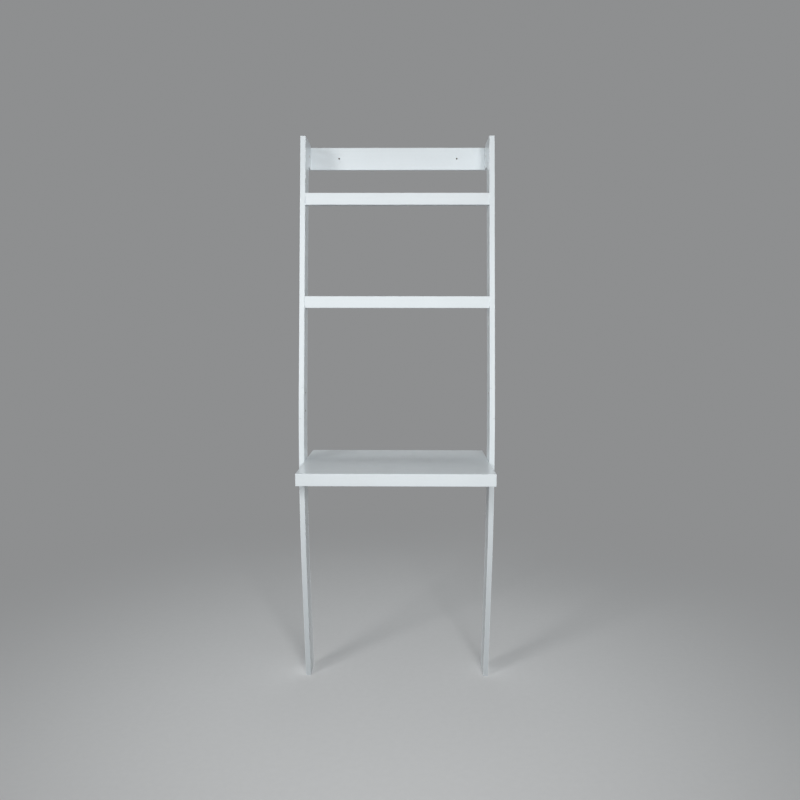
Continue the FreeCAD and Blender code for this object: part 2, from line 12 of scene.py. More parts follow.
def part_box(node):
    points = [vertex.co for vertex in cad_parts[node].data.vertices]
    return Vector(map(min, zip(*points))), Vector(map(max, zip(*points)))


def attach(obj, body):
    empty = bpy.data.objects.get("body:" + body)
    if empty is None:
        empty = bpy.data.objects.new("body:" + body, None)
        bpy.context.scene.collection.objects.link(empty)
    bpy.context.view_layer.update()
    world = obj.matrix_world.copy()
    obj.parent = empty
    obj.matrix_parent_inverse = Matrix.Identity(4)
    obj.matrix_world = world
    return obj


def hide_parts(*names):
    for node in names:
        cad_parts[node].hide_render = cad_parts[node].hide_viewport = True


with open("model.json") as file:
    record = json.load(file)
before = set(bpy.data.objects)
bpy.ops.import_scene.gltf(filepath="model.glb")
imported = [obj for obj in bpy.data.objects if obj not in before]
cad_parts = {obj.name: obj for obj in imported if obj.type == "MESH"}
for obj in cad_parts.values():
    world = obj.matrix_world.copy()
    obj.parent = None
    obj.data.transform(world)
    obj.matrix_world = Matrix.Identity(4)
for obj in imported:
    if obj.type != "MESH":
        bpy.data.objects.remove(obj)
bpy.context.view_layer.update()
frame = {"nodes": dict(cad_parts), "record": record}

bl_info = {
    "name": "Ladder desk looks",
    "version": (1, 0, 0),
    "blender": (4, 5, 0),
    "location": "3D View > Sidebar > Ladder desk",
    "description": "Lacquer, joint fittings, floor, lights and camera of the ladder desk",
    "category": "Object",
}

BODY = "root"
MILLIMETRE = 0.001
NODE_SLOTS = {part["node"]: part["material_slot"] for part in frame["record"]["subparts"]}
X_AXIS, Y_AXIS, Z_AXIS = Vector((1, 0, 0)), Vector((0, 1, 0)), Vector((0, 0, 1))

WALL_SCREW_OFFSET = 0.2032  # of each wall-screw hole from the middle plane
WALL_SCREW_RADIUS = 0.00275  # of a wall-screw hole
NUT_CLEARANCE = 0.0001  # between a barrel nut and the wall of its hole
UPRIGHT_BOARDS = ("upper_side_left", "upper_side_right", "lower_side_left", "lower_side_right")
DEPTH_BOARDS = ("desk_side_rail_left", "desk_side_rail_right")

NOISE_BAND = (0.3, 0.7)  # most of a noise lies between these
STREAK_STRETCH = 28  # length of a sanding streak against its width
FIBRE_STRETCH = 9  # length of a fleck in beech against its width
SHARP_ANGLE = math.radians(38)  # an edge that turns by more than this is drawn sharp

FLOOR_RADII = (0.5, 1.0, 2.0, 4.0, 8.0, 16.0, 40.0)
GRID_SPREAD = math.radians(110)  # spread of a lamp's light behind a grid
LAMP_TARGET = Vector((0.0, 0.0, 1.32))  # the lamps are aimed at the middle shelf
# Angle off the desk's front in degrees, then distance, height and size in metres.
LAMPS = {
    "fill_softbox": (-38, 3.0, 2.05, 0.8),
    "key_softbox": (9, 3.0, 1.55, 0.8),
    "left_rim": (-90, 6.0, 1.25, 1.2),
    "right_rim": (90, 6.0, 1.25, 1.2),
    "rear_lamp": (180, 5.0, 1.2, 1.2),
    "top_softbox": (180, 1.1, 4.1, 1.2),
    "sheen_card": (-25, 3.0, 2.05, 1.6),
}


# ---- settings -----------------------------------------------------------------------


class LacquerSettings(bpy.types.PropertyGroup):
    """Sizes and colours of the white lacquer."""

    colour: FloatVectorProperty(
        name="Colour", description="Colour of the dried lacquer", subtype="COLOR", size=3,
        default=(0.765, 0.812, 0.838), min=0, max=1,
    )
    roughness: FloatProperty(
        name="Roughness", description="Mean roughness of the satin surface",
        default=0.22, min=0, max=1, subtype="FACTOR",
    )
    peel_size: FloatProperty(
        name="Peel size", description="Width of one ripple of the sprayed surface",
        default=0.0028, min=0, unit="LENGTH", precision=4,
    )
    peel_height: FloatProperty(
        name="Peel height", description="Height of the sprayed surface's ripples",
        default=0.000012, min=0, unit="LENGTH", precision=6,
    )
    streak_size: FloatProperty(
        name="Streak size", description="Width of a sanding streak under the lacquer",
        default=0.0045, min=0, unit="LENGTH", precision=4,
    )
    streak_height: FloatProperty(
        name="Streak height", description="Height of a sanding streak under the lacquer",
        default=0.000008, min=0, unit="LENGTH", precision=6,
    )
    bare_colour: FloatVectorProperty(
        name="Bare colour", description="Colour of the bare board on the walls of open holes",
        subtype="COLOR", size=3, default=(0.23, 0.165, 0.11), min=0, max=1,
    )
    bare_roughness: FloatProperty(
        name="Bare roughness", description="Roughness of the bare board on those walls",
        default=0.8, min=0, max=1, subtype="FACTOR",
    )
    # corner_shade is painted shade: how much the joints and inner corners are darkened.
    corner_shade: FloatProperty(
        name="Corner shade", description="How much dust greys the joints and inner corners",
        default=0.08, min=0, max=1, subtype="FACTOR",
    )


class FittingSettings(bpy.types.PropertyGroup):
    """Sizes and colours of the bolts, nuts, screws and dowels."""

    zinc_colour: FloatVectorProperty(
        name="Zinc colour", description="Colour of the zinc-plated bolts, nuts and screws",
        subtype="COLOR", size=3, default=(0.55, 0.56, 0.57), min=0, max=1,
    )
    brass_colour: FloatVectorProperty(
        name="Brass colour", description="Colour of the insert nuts' dulled brass",
        subtype="COLOR", size=3, default=(0.36, 0.26, 0.12), min=0, max=1,
    )
    beech_colour: FloatVectorProperty(
        name="Beech colour", description="Colour of the dowels",
        subtype="COLOR", size=3, default=(0.66, 0.46, 0.27), min=0, max=1,
    )
    edge_tint: FloatProperty(
        name="Edge tint", description="How bright the oiled metal stays when seen at a flat angle",
        default=0.12, min=0, max=1, subtype="FACTOR",
    )
    bolt_pitch: FloatProperty(
        name="Bolt pitch", description="Rise of the bolt's thread in one turn",
        default=0.001, min=0.0002, unit="LENGTH", precision=4,
    )
    screw_pitch: FloatProperty(
        name="Screw pitch", description="Rise of the wood screw's thread in one turn",
        default=0.0018, min=0.0002, unit="LENGTH", precision=4,
    )
    flutes: IntProperty(
        name="Flutes", description="Glue flutes around a dowel", default=18, min=6, max=48,
    )


class StageSettings(bpy.types.PropertyGroup):
    """Floor, backdrop and lights."""

    backdrop: FloatVectorProperty(
        name="Backdrop", description="Colour of the backdrop and of the floor's far part",
        subtype="COLOR", size=3, default=(0.27, 0.274, 0.278), min=0, max=1,
    )
    floor_colour: FloatVectorProperty(
        name="Floor", description="Colour of the floor around the desk",
        subtype="COLOR", size=3, default=(0.72, 0.72, 0.72), min=0, max=1,
    )
    floor_bounce: FloatProperty(
        name="Floor bounce", description="Share of light that the floor throws back up",
        default=0.3, min=0, max=1, subtype="FACTOR",
    )
    floor_glow: FloatProperty(
        name="Floor glow", description="Light added to the floor where it is seen, to pale it",
        default=0.14, min=0,
    )
    fade_start: FloatProperty(
        name="Fade start", description="How far out the floor starts to fade into the backdrop",
        default=0.5, min=0, unit="LENGTH",
    )
    fade_end: FloatProperty(
        name="Fade end", description="How far out the floor has faded into the backdrop",
        default=2.4, min=0, unit="LENGTH",
    )
    ambient_colour: FloatVectorProperty(
        name="Ambient colour", description="Colour of the even light from all sides",
        subtype="COLOR", size=3, default=(0.84, 0.95, 1.0), min=0, max=1,
    )
    ambient: FloatProperty(
        name="Ambient", description="Strength of the even light from all sides",
        default=0.13, min=0,
    )
    key_power: FloatProperty(
        name="Key power", description="Power of the softbox on the right of the camera",
        default=22.0, min=0, unit="POWER",
    )
    fill_power: FloatProperty(
        name="Fill power", description="Power of the higher softbox on the left of the camera",
        default=11.5, min=0, unit="POWER",
    )
    rim_power: FloatProperty(
        name="Rim power", description="Power of each lamp square to a side of the desk",
        default=165.0, min=0, unit="POWER",
    )
    top_power: FloatProperty(
        name="Top power", description="Power of the lamp high over the back of the desk",
        default=20.0, min=0, unit="POWER",
    )
    sheen_power: FloatProperty(
        name="Sheen power", description="Power of the soft card that the lacquer mirrors",
        default=8.5, min=0, unit="POWER",
    )
    rear_power: FloatProperty(
        name="Rear power", description="Power of the lamp behind the desk",
        default=175.0, min=0, unit="POWER",
    )


class CameraSettings(bpy.types.PropertyGroup):
    """Where the camera stands."""

    place: FloatVectorProperty(
        name="Place", description="Place of the lens", subtype="TRANSLATION", size=3,
        default=(0.0313, -2.4635, 1.2148),
    )
    pitch: FloatProperty(
        name="Pitch", description="Downward tilt", default=math.radians(7.179), subtype="ANGLE",
    )
    yaw: FloatProperty(
        name="Yaw", description="Turn to the left", default=math.radians(0.491), subtype="ANGLE",
    )
    roll: FloatProperty(
        name="Roll", description="Turn about the line of sight", default=math.radians(0.05),
        subtype="ANGLE",
    )
    lens: FloatProperty(
        name="Lens", description="Focal length in millimetres on a 36 mm wide sensor",
        default=33.953, min=1,
    )
    shift: FloatProperty(
        name="Shift", description="Upward shift of the frame, as a share of its width",
        default=0.025,
    )


class LadderDeskSettings(bpy.types.PropertyGroup):
    """All settings of the ladder desk's looks."""

    lacquer: PointerProperty(type=LacquerSettings)
    fittings: PointerProperty(type=FittingSettings)
    stage: PointerProperty(type=StageSettings)
    camera: PointerProperty(type=CameraSettings)


# ---- node helpers -------------------------------------------------------------------


def new_material(name):
    """An empty node material with its output and main shader, and the tree they are in."""
    material = bpy.data.materials.new(name)
    material.use_nodes = True
    tree = material.node_tree
    tree.nodes.clear()
    output = tree.nodes.new("ShaderNodeOutputMaterial")
    shader = tree.nodes.new("ShaderNodeBsdfPrincipled")
    tree.links.new(shader.outputs["BSDF"], output.inputs["Surface"])
    return material, tree, shader


def add_node(tree, kind, links=(), **values):
    """A node of a kind with its values set and its inputs linked from (input, socket) pairs."""
    node = tree.nodes.new(kind)
    for key, value in values.items():
        setattr(node, key, value)
    for key, socket in links:
        if hasattr(socket, "is_output"):
            tree.links.new(socket, node.inputs[key])
        else:
            node.inputs[key].default_value = socket
    return node


def object_coordinates(tree, stretch=(1, 1, 1)):
    """Object coordinates in metres, divided along each axis by its stretch."""
    place = add_node(tree, "ShaderNodeTexCoord")
    scale = tuple(1 / s for s in stretch)
    links = [("Vector", place.outputs["Object"]), ("Scale", scale)]
    return add_node(tree, "ShaderNodeMapping", links).outputs["Vector"]


def noise(tree, size, coordinates, detail=2.0, roughness=0.5):
    """Noise from 0 to 1 whose features are about size metres wide."""
    links = [
        ("Vector", coordinates),
        ("Scale", 1 / size),
        ("Detail", detail),
        ("Roughness", roughness),
    ]
    return add_node(tree, "ShaderNodeTexNoise", links).outputs["Fac"]


def remap(tree, socket, low, high, start=0.0, end=1.0):
    """Map a socket's start to end onto low to high, without going past them."""
    links = [
        ("Value", socket),
        ("From Min", start),
        ("From Max", end),
        ("To Min", low),
        ("To Max", high),
    ]
    return add_node(tree, "ShaderNodeMapRange", links).outputs["Result"]


def vary(tree, socket, low, high):
    """Map the band that most of a noise lies in onto low to high."""
    return remap(tree, socket, low, high, *NOISE_BAND)


def number_math(tree, operation, a, b):
    """The result of an operation on two numbers, each a socket or a plain number."""
    return add_node(tree, "ShaderNodeMath", [(0, a), (1, b)], operation=operation).outputs[0]


def multiply(tree, a, b):
    """One number times another."""
    return number_math(tree, "MULTIPLY", a, b)


def vector_math(tree, operation, *vectors):
    """The result of a vector operation, which is a number for LENGTH."""
    node = add_node(tree, "ShaderNodeVectorMath", enumerate(vectors), operation=operation)
    return node.outputs["Value" if operation == "LENGTH" else "Vector"]


def mix_colours(tree, factor, first, second, blend_type="MIX"):
    """Blend two colours, each a socket or three numbers."""
    mix = add_node(
        tree, "ShaderNodeMix", [(0, factor)], data_type="RGBA", blend_type=blend_type
    )
    for key, colour in (("A", first), ("B", second)):
        target = next(i for i in mix.inputs if i.name == key and i.type == "RGBA")
        if hasattr(colour, "is_output"):
            tree.links.new(colour, target)
        else:
            target.default_value = (*colour, 1.0)
    return next(o for o in mix.outputs if o.type == "RGBA")


def shade(tree, colour, factor):
    """A colour times a number socket."""
    grey = add_node(
        tree, "ShaderNodeCombineColor", [("Red", factor), ("Green", factor), ("Blue", factor)]
    )
    return mix_colours(tree, 1.0, colour, grey.outputs["Color"], "MULTIPLY")


def mix_shaders(tree, factor, first, second):
    """The first shader where the factor is nought, and the second where it is one."""
    links = [(0, factor), (1, first), (2, second)]
    return add_node(tree, "ShaderNodeMixShader", links).outputs[0]


def occlusion_shade(tree, reach, low, start, end):
    """One on open faces, and down to low in corners and grooves: a factor for painted shade.

    reach is how many metres away another face still darkens a point. start and end are the
    shares of open sky over a point that give low and one.
    """
    sky = add_node(tree, "ShaderNodeAmbientOcclusion", [("Distance", reach)], samples=8)
    return remap(tree, sky.outputs["AO"], low, 1.0, start, end)


def bump(tree, height, distance, below=None):
    """A bump of distance metres from a height socket, on top of another bump."""
    links = [("Height", height), ("Distance", distance)]
    if below is not None:
        links.append(("Normal", below))
    return add_node(tree, "ShaderNodeBump", links).outputs["Normal"]


# ---- materials ----------------------------------------------------------------------


def lacquer_material(name, length_axis, gloss=1.0):
    """White lacquer, sprayed on sanded board whose streaks run along one axis.

    The colour is the lacquer's own, times a slow mottling of about one percent, a finer
    speckle, the streaks and painted shade in joints and inner corners. Ripples of the spray
    and the streaks make the bump. length_axis is 0, 1 or 2 for X, Y or Z, and gloss divides
    the roughness.
    """
    look = bpy.context.scene.ladder_desk.lacquer
    mottle_size, speckle_size, cloud_size, corner_shade_reach = 0.16, 0.006, 0.045, 0.004
    material, tree, shader = new_material(name)
    plain = object_coordinates(tree)
    stretch = [1, 1, 1]
    stretch[length_axis] = STREAK_STRETCH
    along = object_coordinates(tree, stretch)
    mottle = vary(tree, noise(tree, mottle_size, plain, detail=3), 0.985, 1.012)
    speckle = vary(tree, noise(tree, speckle_size, plain, detail=2), 0.992, 1.006)
    streak = noise(tree, look.streak_size, along, detail=3)
    tint = multiply(tree, mottle, speckle)
    tint = multiply(tree, tint, vary(tree, streak, 0.993, 1.005))
    # Painted shade: the colour darkens in joints and inner corners, where less sky reaches.
    painted_corner_shade = occlusion_shade(tree, corner_shade_reach, 1 - look.corner_shade, 0.25, 0.8)
    tint = multiply(tree, tint, painted_corner_shade)
    tree.links.new(shade(tree, tuple(look.colour), tint), shader.inputs["Base Color"])
    rough = look.roughness / gloss
    cloud = vary(tree, noise(tree, cloud_size, plain, detail=4), rough * 0.86, rough * 1.16)
    tree.links.new(cloud, shader.inputs["Roughness"])
    peel = noise(tree, look.peel_size, plain, detail=1)
    normal = bump(tree, peel, look.peel_height)
    normal = bump(tree, streak, look.streak_height, normal)
    tree.links.new(normal, shader.inputs["Normal"])
    shader.inputs["IOR"].default_value = 1.5
    return material


def bare_hole_walls(material, centre, across, radius, reach):
    """Show the bare, rough board on the walls of a straight hole and of its mirror image.

    across has a one for each axis that lies across the hole, and a nought for the axis along
    it. A point is in the hole where the length of (point - centre) * across is under the
    radius and a tenth of a millimetre, with the point's coordinates all taken as positive,
    and where it is nearer to the middle plane than reach.
    """
    look = bpy.context.scene.ladder_desk.lacquer
    tree = material.node_tree
    shader = next(node for node in tree.nodes if node.type == "BSDF_PRINCIPLED")
    mirrored = vector_math(tree, "ABSOLUTE", object_coordinates(tree))
    offset = vector_math(tree, "SUBTRACT", mirrored, centre)
    distance = vector_math(tree, "LENGTH", vector_math(tree, "MULTIPLY", offset, across))
    side = add_node(tree, "ShaderNodeSeparateXYZ", [("Vector", mirrored)]).outputs["X"]
    inside = multiply(
        tree,
        number_math(tree, "LESS_THAN", distance, radius + 0.1 * MILLIMETRE),
        number_math(tree, "LESS_THAN", side, reach),
    )
    colour, rough = shader.inputs["Base Color"], shader.inputs["Roughness"]
    painted, satin = colour.links[0].from_socket, rough.links[0].from_socket
    tree.links.new(mix_colours(tree, inside, painted, tuple(look.bare_colour)), colour)
    dull = multiply(tree, inside, look.bare_roughness)
    tree.links.new(number_math(tree, "MAXIMUM", satin, dull), rough)


def metal_material(name, colour, roughness):
    """Plated or solid metal with fine tool marks, patches of duller plating and painted shade.

    The painted shade darkens drives, bores and thread grooves, where they see little sky.
    """
    patch_size, mark_size, mark_height, recess_shade_reach = 0.0022, 0.0003, 0.000006, 0.003
    material, tree, shader = new_material(name)
    plain = object_coordinates(tree)
    patch = noise(tree, patch_size, plain, detail=3)
    marks = noise(tree, mark_size, plain, detail=2)
    tint = multiply(tree, vary(tree, patch, 0.90, 1.05), remap(tree, marks, 0.95, 1.03))
    # Painted shade: darker in drives, bores and thread grooves, where less sky reaches.
    tint = multiply(tree, tint, occlusion_shade(tree, recess_shade_reach, 0.06, 0.45, 0.95))
    tree.links.new(shade(tree, colour, tint), shader.inputs["Base Color"])
    dull = vary(tree, patch, roughness * 0.8, roughness * 1.3)
    tree.links.new(dull, shader.inputs["Roughness"])
    tree.links.new(bump(tree, marks, mark_height), shader.inputs["Normal"])
    shader.inputs["Metallic"].default_value = 1.0
    edge_tint = bpy.context.scene.ladder_desk.fittings.edge_tint
    shader.inputs["Specular Tint"].default_value = (edge_tint, edge_tint, edge_tint, 1)
    return material


def beech_material(name, length_axis):
    """Pale beech with short dark flecks along the dowel and fibres of changing tone.

    length_axis is 0, 1 or 2 for X, Y or Z.
    """
    colour = tuple(bpy.context.scene.ladder_desk.fittings.beech_colour)
    fibre_size, fleck_size, fibre_height = 0.0007, 0.0016, 0.00006
    material, tree, shader = new_material(name)
    stretch = [1, 1, 1]
    stretch[length_axis] = FIBRE_STRETCH
    along = object_coordinates(tree, stretch)
    fibre = noise(tree, fibre_size, along, detail=4, roughness=0.6)
    fleck = remap(tree, noise(tree, fleck_size, along, detail=1), 0.78, 1.0, 0.28, 0.42)
    tone = multiply(tree, vary(tree, fibre, 0.84, 1.10), fleck)
    tree.links.new(shade(tree, colour, tone), shader.inputs["Base Color"])
    tree.links.new(remap(tree, fibre, 0.5, 0.72), shader.inputs["Roughness"])
    tree.links.new(bump(tree, fibre, fibre_height), shader.inputs["Normal"])
    return material


def use_material(piece, material):
    """Give every material slot of a piece the same material."""
    if not piece.data.materials:
        piece.data.materials.append(material)
    for index in range(len(piece.data.materials)):
        piece.data.materials[index] = material


# ---- meshes -------------------------------------------------------------------------


def solid_boxes(node):
    """Lowest and highest corner of each separate solid of a node.

    Corners that share a place share a number. Each triangle lends its lowest number to its
    corners, over and over, until every solid has a single number.
    """
    mesh = frame["nodes"][node].data
    mesh.calc_loop_triangles()
    points = np.empty(len(mesh.vertices) * 3, np.float32)
    mesh.vertices.foreach_get("co", points)
    points = points.reshape(-1, 3)
    triangles = np.empty(len(mesh.loop_triangles) * 3, np.int32)
    mesh.loop_triangles.foreach_get("vertices", triangles)
    places, number = np.unique(points, axis=0, return_inverse=True)
    corners = number.reshape(-1)[triangles].reshape(-1, 3)
    label = np.arange(len(places))
    while True:
        lowest = label[corners].min(axis=1)
        lent = label.copy()
        np.minimum.at(lent, corners.ravel(), np.repeat(lowest, 3))
        lent = lent[lent]
        if np.array_equal(lent, label):
            break
        label = lent
    groups = [places[label == value] for value in np.unique(label)]
    return [(Vector(g.min(axis=0)), Vector(g.max(axis=0))) for g in groups]


def ring_angles(count):
    """Angles of a ring's points, evenly round the circle."""
    return np.arange(count) * (2 * math.pi / count)


def rings_to_points(rings, angles):
    """Points of rings, each a height and a radius, both numbers or one value per angle.

    x = radius * cos(angle), y = radius * sin(angle), z = height.
    """
    heights = np.array([np.broadcast_to(height, angles.shape) for height, _ in rings])
    radii = np.array([np.broadcast_to(radius, angles.shape) for _, radius in rings])
    return np.stack([radii * np.cos(angles), radii * np.sin(angles), heights], axis=-1)


def grid_faces(rows, columns, ring_of_rings):
    """Four-sided faces between neighbouring rings, and from the last ring to the first."""
    row = np.arange(rows if ring_of_rings else rows - 1)[:, None]
    column = np.arange(columns)[None, :]
    here = row * columns
    after = (row + 1) % rows * columns
    following = (column + 1) % columns
    corners = [here + column, here + following, after + following, after + column]
    return np.stack(corners, axis=-1).reshape(-1, 4)


def mesh_piece(name, vertices, faces):
    """A new object at the origin with a mesh of vertices and faces."""
    mesh = bpy.data.meshes.new(name)
    mesh.from_pydata(vertices, [], faces)
    mesh.update()
    piece = bpy.data.objects.new(name, mesh)
    bpy.context.scene.collection.objects.link(piece)
    return piece


def closed_piece(name, points, places, poles=None):
    """A piece of copies of one closed surface, each put at a place by a matrix.

    points holds the rings' points, row by row. poles are the heights of the two end
    points on the axis. Without them the last ring joins the first. A copy's points are the
    surface's, turned by its matrix and then moved, and its faces are the surface's with
    the number of all points before it added.
    """
    rows, columns = points.shape[:2]
    vertices = points.reshape(-1, 3)
    kinds = [grid_faces(rows, columns, poles is None)]
    if poles is not None:
        first, last = len(vertices), len(vertices) + 1
        vertices = np.vstack([vertices, [(0, 0, poles[0])], [(0, 0, poles[1])]])
        around = np.arange(columns)
        following = (around + 1) % columns
        end = (rows - 1) * columns
        start_fan = np.stack([np.full(columns, first), following, around], axis=-1)
        end_fan = np.stack([np.full(columns, last), end + around, end + following], axis=-1)
        kinds += [start_fan, end_fan]
    turns = np.array([place.to_3x3() for place in places])
    starts = np.array([place.translation for place in places])
    copies = vertices @ turns.transpose(0, 2, 1) + starts[:, None]
    before = np.arange(len(places))[:, None, None] * len(vertices)
    faces = []
    for kind in kinds:
        faces += (kind + before).reshape(-1, kind.shape[1]).tolist()
    piece = mesh_piece(name, copies.reshape(-1, 3), faces)
    piece.data.shade_smooth()
    piece.data.set_sharp_from_angle(angle=SHARP_ANGLE)
    return piece


def place_along(point, direction):
    """The matrix that puts the local Z axis at a point, along a direction."""
    turn = Z_AXIS.rotation_difference(direction).to_matrix().to_4x4()
    return Matrix.Translation(point) @ turn


def fit_out(piece, node, material):
    """Let a piece stand for a CAD node, ride with the desk and take the node's finish."""
    use_material(piece, material)
    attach(piece, BODY)
    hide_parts(node)


def head_places(node, axis):
    """Where the fasteners of a node start, and which way they point.

    A fastener along X starts at its end that is further from the middle plane, and one
    along Y or Z at the end that the axis vector points away from.
    """
    places = []
    for low, high in solid_boxes(node):
        middle = (low + high) / 2
        direction = axis.copy()
        if axis == X_AXIS and middle.x > 0:
            direction = -axis
        half = abs((high - low).dot(axis)) / 2
        places.append(place_along(middle - direction * half, direction))
    return places


def longest_side(node):
    """Length of the first solid of a node."""
    low, high = solid_boxes(node)[0]
    return max(high - low)


def hexagon_radius(angles, width):
    """Distance from the middle to a hexagon's side at each angle."""
    sixth = math.pi / 3
    return width / 2 / np.cos((angles + sixth / 2) % sixth - sixth / 2)


def cross_radius(angles, length, width):
    """Distance from the middle to the edge of a cross with four arms at each angle.

    Within an arm's end the edge is half the length away along the arm, and beside an arm
    half the width away across it.
    """
    quarter = math.pi / 2
    turn = np.abs((angles + quarter / 2) % quarter - quarter / 2)
    arm_end = length / 2 / np.cos(turn)
    arm_side = width / 2 / np.maximum(np.sin(turn), 0.001)
    return np.minimum(arm_end, arm_side)


def thread_rings(start, end, pitch, root, crest, angles, rows_per_turn=6):
    """Rings of a thread, from the start height to the end height.

    The radius goes from the crest to the root and back once a pitch, and turns with the
    angle. Within half a pitch of either end it fades to the root.
    """
    count = int(round((end - start) / pitch * rows_per_turn))
    heights = np.linspace(start, end, count + 1)[:, None]
    wave = np.abs(((heights / pitch - angles / (2 * math.pi)) % 1) * 2 - 1)
    from_ends = np.minimum(heights - start, end - heights) / pitch
    radii = root + (crest - root) * wave * np.minimum(1.0, from_ends * 2)
    return list(zip(heights[:, 0], radii))


def bolt_piece(name, node, axis, plain_length):
    """Countersunk bolts with a hexagon drive and a rolled thread.

    Each is one closed surface of rings: drive floor, drive wall, head, cone, shank, thread.
    """
    pitch = bpy.context.scene.ladder_desk.fittings.bolt_pitch
    head_radius, shank_radius, rim = 6.0 * MILLIMETRE, 3.0 * MILLIMETRE, 0.6 * MILLIMETRE
    drive_width, drive_depth = 4.0 * MILLIMETRE, 2.4 * MILLIMETRE
    break_edge, run_out, chamfer = 0.15 * MILLIMETRE, 0.3 * MILLIMETRE, 0.5 * MILLIMETRE
    bevel_width, bevel_height = 0.25 * MILLIMETRE, 0.2 * MILLIMETRE
    thread_depth = 0.55 * pitch
    root = shank_radius - thread_depth
    length = longest_side(node)
    angles = ring_angles(36)
    drive = hexagon_radius(angles, drive_width)
    neck = rim + head_radius - shank_radius
    rings = [
        (drive_depth, drive * 0.96),
        (drive_depth - break_edge, drive),
        (break_edge, drive),
        (0.0, drive + break_edge),
        (0.0, head_radius - bevel_width),
        (bevel_height, head_radius),
        (rim, head_radius),
        (neck, shank_radius),
        (neck + plain_length, shank_radius),
    ]
    thread_start = neck + plain_length + run_out
    rings += thread_rings(thread_start, length - chamfer, pitch, root, shank_radius, angles)
    rings.append((length, root * 0.9))
    points = rings_to_points(rings, angles)
    places = head_places(node, axis)
    return closed_piece(name, points, places, poles=(drive_depth, length))


def screw_piece(name, node):
    """Wood screws with a cross drive, a coarse thread and a sharp point, pointing up.

    Each is one closed surface of rings: drive floor, drive wall, head, neck, thread, point.
    """
    pitch = bpy.context.scene.ladder_desk.fittings.screw_pitch
    head_radius, core, crest = 4.0 * MILLIMETRE, 1.35 * MILLIMETRE, 2.0 * MILLIMETRE
    drive_length, drive_width = 4.6 * MILLIMETRE, 1.0 * MILLIMETRE
    drive_depth, break_edge = 1.4 * MILLIMETRE, 0.15 * MILLIMETRE
    plain_length, point_length = 4.0 * MILLIMETRE, 4.5 * MILLIMETRE
    angles = ring_angles(48)
    drive = cross_radius(angles, drive_length, drive_width)
    length = longest_side(node)
    shank_radius = crest * 0.92
    neck = head_radius - crest
    thread_start = neck + plain_length
    taper_start = length - point_length
    rings = [
        (drive_depth, drive * 0.45),
        (0.1 * MILLIMETRE, drive),
        (0.0, drive * 1.04),
        (0.0, head_radius - break_edge),
        (break_edge, head_radius),
        (neck + break_edge, shank_radius),
        (thread_start - 0.2 * MILLIMETRE, shank_radius),
    ]
    rings += thread_rings(thread_start, taper_start, pitch, core, crest, angles, 9)
    for share in (0.25, 0.5, 0.75):
        radius = core * (1 - share) + 0.05 * MILLIMETRE
        rings.append((taper_start + share * point_length, radius))
    points = rings_to_points(rings, angles)
    return closed_piece(name, points, head_places(node, Z_AXIS), poles=(drive_depth, length))


def dowel_piece(name, node, axis):
    """Fluted dowels with both ends chamfered.

    radius = full radius - dip * (1 - cos(angle * flutes)) / 2.
    """
    flutes = bpy.context.scene.ladder_desk.fittings.flutes
    radius, chamfer, dip = 4.0 * MILLIMETRE, 1.0 * MILLIMETRE, 0.32 * MILLIMETRE
    break_edge, points_per_flute = 0.08 * MILLIMETRE, 4
    length = longest_side(node)
    angles = ring_angles(flutes * points_per_flute)
    fluted = radius - dip * (0.5 - 0.5 * np.cos(angles * flutes))
    end = fluted - chamfer
    rings = [
        (0.0, end * 0.97),
        (break_edge, end),
        (chamfer, fluted),
        (length / 2, fluted),
        (length - chamfer, fluted),
        (length - break_edge, end),
        (length, end * 0.97),
    ]
    points = rings_to_points(rings, angles)
    return closed_piece(name, points, head_places(node, axis), poles=(0.0, length))


def insert_nut_piece(name, node):
    """Insert nuts: a coarse outer thread, flat ends and a fine inner thread.

    The outer rings run from one end to the other and the inner ones back, so the last
    ring joins the first.
    """
    pitch = bpy.context.scene.ladder_desk.fittings.bolt_pitch
    low, high = solid_boxes(node)[0]
    length = high.x - low.x
    outer, bore, rim = 4.5 * MILLIMETRE, 3.05 * MILLIMETRE, 0.4 * MILLIMETRE
    core, mouth = outer * 0.86, bore * 1.1
    angles = ring_angles(36)
    outside = thread_rings(rim, length - rim, 1.6 * pitch, core, outer, angles, 8)
    inside = thread_rings(rim, length - rim, pitch, bore * 1.08, bore, angles)
    rings = [(0.0, mouth), (0.0, core), *outside, (length, core), (length, mouth)]
    rings += reversed(inside)
    points = rings_to_points(rings, angles)
    return closed_piece(name, points, head_places(node, X_AXIS))


# ---- operators ----------------------------------------------------------------------


class LADDERDESK_OT_camera(bpy.types.Operator):
    """Put the camera in front of the desk"""

    bl_idname = "ladderdesk.camera"
    bl_label = "Place camera"

    def execute(self, context):
        look = context.scene.ladder_desk.camera
        data = bpy.data.cameras.new("camera")
        data.sensor_width = 36.0
        data.lens = look.lens
        data.shift_y = look.shift
        camera = bpy.data.objects.new("camera", data)
        turn = Matrix.Rotation(look.yaw, 4, "Z")
        turn = turn @ Matrix.Rotation(math.pi / 2 - look.pitch, 4, "X")
        turn = turn @ Matrix.Rotation(look.roll, 4, "Z")
        camera.matrix_world = Matrix.Translation(look.place) @ turn
        context.scene.collection.objects.link(camera)
        context.scene.camera = camera
        return {"FINISHED"}


